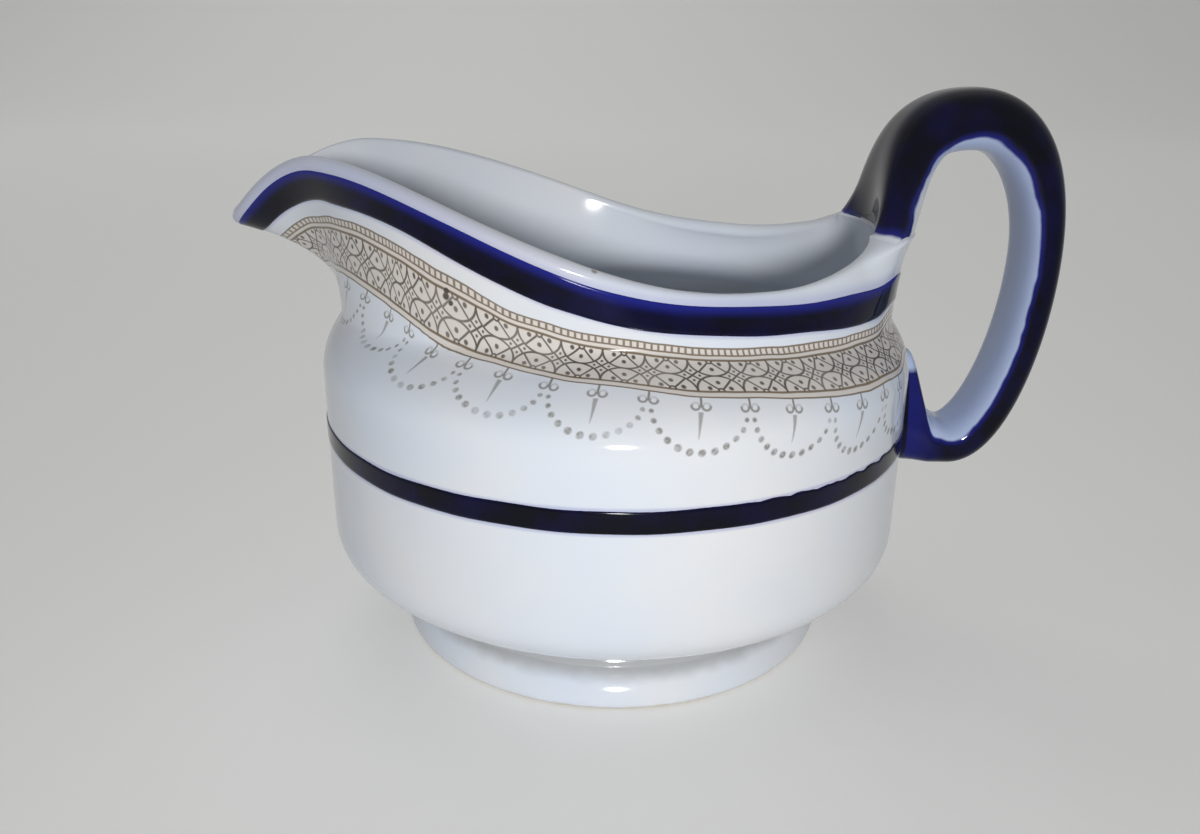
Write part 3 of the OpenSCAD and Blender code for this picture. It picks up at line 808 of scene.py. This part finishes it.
def loopPlace(u, row):
    kind, t = loopRows[row]
    across, out = section(u)
    if kind == "root":
        return rootPoint(across * t, out * t) - upright * handle["rootSink"]
    if kind == "skirt":
        return skirtPoint(t, across, out)
    if kind == "way":
        return loopPoint(t, across, out)
    return wallPoint(across * t, out * t, handle["gap"] + handle["slip"], 0)


# Handle glaze: cobalt outside, a bluish white run on the inner face and the tip of the lower end.
# whiteTo is how far the white climbs round the section, along the loop
handleGlaze = {
    "inner": "#B4C3E4", "innerFrom": (0.12, 0.4), "tipZ": 60.5, "tipFade": 1.2, "tipFrom": 3.5, "brush": 0.07,
    "blueEdge": (-0.05, 0.06), "thinEdge": (0.3, 0.75), "endFrom": (3.1, 3.7), "endBlue": 0.5,
    "whiteTo": ((0, -0.7), (0.15, -0.68), (0.3, -0.64), (0.6, -0.64), (0.9, -0.54), (1.5, -0.58),
                (1.8, -0.58), (2.1, -0.55), (2.6, -0.5), (2.8, -0.5), (3.2, -0.48), (3.38, -0.5),
                (3.5, -0.62), (3.6, -0.95), (3.7, -1.6), (4, -1.6)),
}


def loopMaps(u, row):
    kind, t = loopRows[row]
    s = {"root": 0, "skirt": t * handle["climb"], "way": t, "end": 4}[kind]
    edge = section(u)[1] - through(handleGlaze["whiteTo"], s)
    if kind in ("root", "skirt"):
        edge = min(edge, (t if kind == "skirt" else 0) - handle["blueFrom"])
    return {"paint": (edge, s)}


def whiteTip(add, here):
    low = handleGlaze["tipZ"]
    z = add("SeparateXYZ", [here]).outputs[2]
    return add("MapRange", [z, low * mm, (low + handleGlaze["tipFade"]) * mm, 0, 1])


material, add = newMaterial("handleGlaze")
here = add("TexCoord").outputs["Object"]
edge, along = add("SeparateXYZ", [add("UVMap", uv_map="paint")]).outputs[:2]
wander = add("TexNoise", {"Vector": here, "Scale": 1 / 0.008, "Detail": 2})  # 8 mm brush wander
edge = add("Math", [edge, add("MapRange", [wander, 0.3, 0.7, -handleGlaze["brush"], handleGlaze["brush"]])])
onEnd = add("Math", [along, handleGlaze["tipFrom"]], operation="GREATER_THAN")
tip = add("Math", [whiteTip(add, here), onEnd], operation="MULTIPLY")
blue = add("MapRange", [edge, *handleGlaze["blueEdge"], 0, 1], interpolation_type="SMOOTHSTEP")
blue = add("Math", [blue, add("Math", [1, tip], operation="SUBTRACT")], operation="MULTIPLY")
thin = add("MapRange", [edge, 0, *handleGlaze["thinEdge"], 0], interpolation_type="SMOOTHSTEP")
endThin = add("MapRange", [along, *handleGlaze["endFrom"], 0, handleGlaze["endBlue"]])
thin = add("Math", [thin, endThin], operation="MAXIMUM")
innerShare = add("MapRange", [along, *handleGlaze["innerFrom"], 0, 1])
inner = add("Mix", {"Factor": innerShare, 6: whiteGround(add, here), 7: linear(handleGlaze["inner"])},
            data_type="RGBA").outputs[2]
colour = add("Mix", {"Factor": blue, 6: inner, 7: cobaltColour(add, here, thin)}, data_type="RGBA").outputs[2]
add("OutputMaterial", [glazeShader(add, here, colour, cobalt["specular"])])
bm = layGrid(handle["columns"], len(loopRows) - 1, loopPlace, loopMaps)
finishPiece(bm, "loopHandle", material, "cobalt_glaze", "handle")

# Slip round the handle's lower end: a fillet of clay drawn out with a wet brush, under cobalt
fillet = {"climb": 3.84, "spread": 0.8, "rows": 12, "under": 0.06, "near": (0.05, 0.3), "hidden": 0.3,
          "thinTo": (0.08, 0.4)}
material, add = newMaterial("cobaltSlip")
here = add("TexCoord").outputs["Object"]
climb = add("SeparateXYZ", [add("UVMap", uv_map="paint")]).outputs[1]
thin = add("MapRange", [climb, *fillet["thinTo"], 1, 0], interpolation_type="SMOOTHSTEP")
colour = add("Mix", {"Factor": whiteTip(add, here), 6: cobaltColour(add, here, thin),
                     7: whiteGround(add, here)}, data_type="RGBA").outputs[2]
add("OutputMaterial", [glazeShader(add, here, colour, cobalt["specular"])])


def lowerSlipPlace(u, row):
    across, out = section(u)
    if row in (0, fillet["rows"] + 2):
        return wallPoint(0, 0, fillet["hidden"], 0)
    edge = wallPoint(across, out, -fillet["under"], fillet["spread"])
    nearGap, nearShare = fillet["near"]
    near = wallPoint(across, out, nearGap, fillet["spread"] * nearShare)
    inward = Vector((0, -across, out)).normalized() * fillet["under"]
    under = loopPoint(mix(fillet["climb"], 4, 0.5), across, out) + inward
    top = loopPoint(fillet["climb"], across, out) + inward
    return bezier((edge, near, under, top), (row - 1) / fillet["rows"])


def lowerSlipMaps(u, row):
    return {"paint": (section(u)[1], row / fillet["rows"])}


bm = layGrid(handle["columns"], fillet["rows"] + 2, lowerSlipPlace, lowerSlipMaps)
finishPiece(bm, "lowerSlip", material, "slip", "lower_slip")

# Slip at the root and the foot: clay under the white glaze, with painted shade greying the narrow joint
jointSlip = {"jointShade": "#8E877D", "share": (0.5, 0.9)}
material, add = newMaterial("glazedSlip")
here = add("TexCoord").outputs["Object"]
shadeNoise = add("TexNoise", {"Vector": here, "Scale": 1 / 0.02, "Detail": 3})  # 20 mm stretches of stronger and weaker painted shade
# painted shade: the joint mixed half to nine tenths towards dark grey, as a crease in shade
colour = add("Mix", {"Factor": add("MapRange", [shadeNoise, 0.35, 0.65, *jointSlip["share"]]),
                     6: whiteGround(add, here), 7: linear(jointSlip["jointShade"])}, data_type="RGBA").outputs[2]
add("OutputMaterial", [glazeShader(add, here, colour)])
for name in ("foot_slip", "upper_slip"):
    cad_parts[name].data.materials.clear()
    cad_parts[name].data.materials.append(material)
    print("node:", name, "in glazedSlip")

# Foot ring: a turned ring with a hollow waist and a flat, dry foot
ring = {"height": 11.4, "inner": 41.5, "outer": 50.5, "top": 48.5, "edge": 1.6, "innerEdge": 0.8,
        "coveRadius": 46.8, "coveZ": 8.4, "covePull": (0.45, 0.4, 0.85), "steps": 240}
wallUp, coveOut, coveUp = ring["covePull"]
cove = [Vector(p) for p in (
    (ring["outer"], ring["edge"]),
    (ring["outer"], mix(ring["edge"], ring["coveZ"], wallUp)),
    (mix(ring["coveRadius"], ring["outer"], coveOut), mix(ring["edge"], ring["coveZ"], coveUp)),
    (ring["coveRadius"], ring["coveZ"]))]
innerEdge, outerEdge = ring["innerEdge"], ring["edge"]
profile = [Vector((ring["inner"], ring["height"])), Vector((ring["inner"], outerEdge))]
for turn in (radians(d) for d in (0, 30, 60, 90)):
    profile.append(Vector((ring["inner"] + innerEdge * (1 - cos(turn)), innerEdge * (1 - sin(turn)))))
for turn in (radians(d) for d in (0, 15, 30, 45, 60, 75)):
    profile.append(Vector((ring["outer"] - outerEdge * (1 - sin(turn)), outerEdge * (1 - cos(turn)))))
profile += [bezier(cove, i / 16) for i in range(17)] + [Vector((ring["top"], ring["height"]))]
bm = bmesh.new()
verts = [bm.verts.new(((p.x + axisShift) * mm, 0, p.y * mm)) for p in profile]
edges = [bm.edges.new((p, q)) for p, q in zip(verts, verts[1:] + verts[:1])]
bmesh.ops.spin(bm, geom=verts + edges, cent=(axisShift * mm, 0, 0), axis=(0, 0, 1), angle=2 * pi,
               steps=ring["steps"], use_merge=True)
bmesh.ops.remove_doubles(bm, verts=bm.verts, dist=1e-6)
bmesh.ops.recalc_face_normals(bm, faces=bm.faces)

# Foot glaze: the same white, greyer in the hollow under the bowl as painted shade,
# wiped off the standing edge so that biscuit shows
footGlaze = {"biscuit": "#CDBFA8", "wipe": (0.25, 0.9), "ragged": 0.3, "darkTone": "#B4B6B8", "paintedShadeZ": (5.2, 8.2)}
material, add = newMaterial("footGlaze")
here = add("TexCoord").outputs["Object"]
ragged = add("TexNoise", {"Vector": here, "Scale": 1 / 0.005, "Detail": 3})  # 5 mm
ragged = add("MapRange", [ragged, 0.3, 0.7, -footGlaze["ragged"] * mm, footGlaze["ragged"] * mm])
height = add("Math", [add("SeparateXYZ", [here]).outputs[2], ragged])
bare = add("MapRange", [height, *[z * mm for z in footGlaze["wipe"]], 1, 0])
# painted shade: a grey band 5.2 to 8.2 mm up the foot, where the bowl's overhang shades it
paintedShade = add("MapRange", [height, *[z * mm for z in footGlaze["paintedShadeZ"]], 0, 1],
             interpolation_type="SMOOTHSTEP")
colour = whiteGround(add, here)
for share, shade in ((paintedShade, footGlaze["darkTone"]), (bare, footGlaze["biscuit"])):
    colour = add("Mix", {"Factor": share, 6: colour, 7: linear(shade)}, data_type="RGBA").outputs[2]
add("OutputMaterial", [glazeShader(add, here, colour)])
finishPiece(bm, "footRing", material, "white_glaze", "foot_ring")

# Camera at the photo's angle
view = {"at": (-6.75, -229.4, 130.1), "yaw": -0.67, "pitch": -19.95, "roll": 0.68, "lens": 30.6,
        "sensor": 36, "clip": (0.01, 20)}
camera = bpy.data.objects.new("camera", bpy.data.cameras.new("camera"))
bpy.context.scene.collection.objects.link(camera)
camera.data.lens, camera.data.sensor_width = view["lens"], view["sensor"]
camera.data.clip_start, camera.data.clip_end = view["clip"]
pose = Matrix.Translation(Vector(view["at"]) * mm)
for angle, axis in ((-view["yaw"], "Z"), (90 + view["pitch"], "X"), (view["roll"], "Z")):
    pose = pose @ Matrix.Rotation(radians(angle), 4, axis)
camera.matrix_world = pose
bpy.context.scene.camera = camera


# How far a ray shows the surround to the eye: straight, in gloss or through glass
def seenShare(add):
    path = add("LightPath")
    seen = path.outputs["Is Camera Ray"]
    for ray in ("Is Glossy Ray", "Is Transmission Ray"):
        seen = add("Math", [seen, path.outputs[ray]], operation="MAXIMUM")
    return seen


# Plain pale floor that sweeps up into a backdrop, in metres
sweep = {"front": -5, "flat": 1.4, "radius": 1.0, "height": 3, "half": 7, "steps": 12,
         "colour": "#DEDEDC", "seen": "#F4F4F2", "glow": 0.26}
bm = bmesh.new()
outline = [(sweep["front"], 0)]
for turn in (pi / 2 * i / sweep["steps"] for i in range(sweep["steps"] + 1)):
    outline.append((sweep["flat"] + sweep["radius"] * sin(turn), sweep["radius"] * (1 - cos(turn))))
outline.append((sweep["flat"] + sweep["radius"], sweep["height"]))
verts = [bm.verts.new((-sweep["half"], y, z)) for y, z in outline]
edges = [bm.edges.new(pair) for pair in zip(verts, verts[1:])]
drawn = bmesh.ops.extrude_edge_only(bm, edges=edges)["geom"]
farSide = [v for v in drawn if isinstance(v, bmesh.types.BMVert)]
bmesh.ops.translate(bm, vec=(2 * sweep["half"], 0, 0), verts=farSide)
for face in bm.faces:
    face.smooth = True
floorMesh = bpy.data.meshes.new("floor")
bm.to_mesh(floorMesh)
bm.free()
floor = bpy.data.objects.new("floor", floorMesh)
bpy.context.scene.collection.objects.link(floor)
material, add = newMaterial("paleBoard")
# pale to the eye, without lighting the boat
glow = add("Math", [seenShare(add), sweep["glow"]], operation="MULTIPLY")
add("OutputMaterial", [add("BsdfPrincipled", {
    "Base Color": linear(sweep["colour"]), "Roughness": 0.8,
    "Emission Color": linear(sweep["seen"]), "Emission Strength": glow})])
floorMesh.materials.append(material)

# Soft light: a small lamp by the camera, wide ones above and behind
boatMiddle = (0, 0, 0.06)
lamps = {
    "key": {"at": (0.02, -0.7, 0.19), "to": boatMiddle, "size": 0.09, "power": 0.25, "spread": 50},
    "top": {"at": (-0.3, 0.1, 1.1), "to": boatMiddle, "size": 1.0, "power": 0.8, "spread": 180},
    "back": {"at": (-0.5, 1.6, 1.7), "to": (0, 0.5, 0), "size": 1.6, "power": 8, "spread": 180},
}
for name, lamp in lamps.items():
    light = bpy.data.lights.new(name, "AREA")
    light.shape, light.size = "DISK", lamp["size"]
    light.energy, light.spread = lamp["power"], radians(lamp["spread"])
    lampObject = bpy.data.objects.new(name, light)
    bpy.context.scene.collection.objects.link(lampObject)
    lampObject.location = lamp["at"]
    lampObject.rotation_mode = "QUATERNION"
    lampObject.rotation_quaternion = (Vector(lamp["to"]) - Vector(lamp["at"])).to_track_quat("-Z", "Y")
    lampObject.visible_camera = False
    lampObject.visible_glossy = name == "key"  # wide lamps would veil the dark cobalt

# Even surround: weak as light, pale where it is seen
surround = {"colour": "#F2F3F5", "light": 0.15, "seen": 0.5}
world = bpy.data.worlds.new("studio")
bpy.context.scene.world = world
world.use_nodes = True
world.node_tree.nodes.clear()
add = partial(addNode, world.node_tree)
level = add("MapRange", [seenShare(add), 0, 1, surround["light"], surround["seen"]])
add("OutputWorld", [add("Background", {"Color": linear(surround["colour"]), "Strength": level})])
bpy.context.scene.view_settings.view_transform = "Standard"
print("studio: camera, floor,", len(lamps), "lamps and surround")
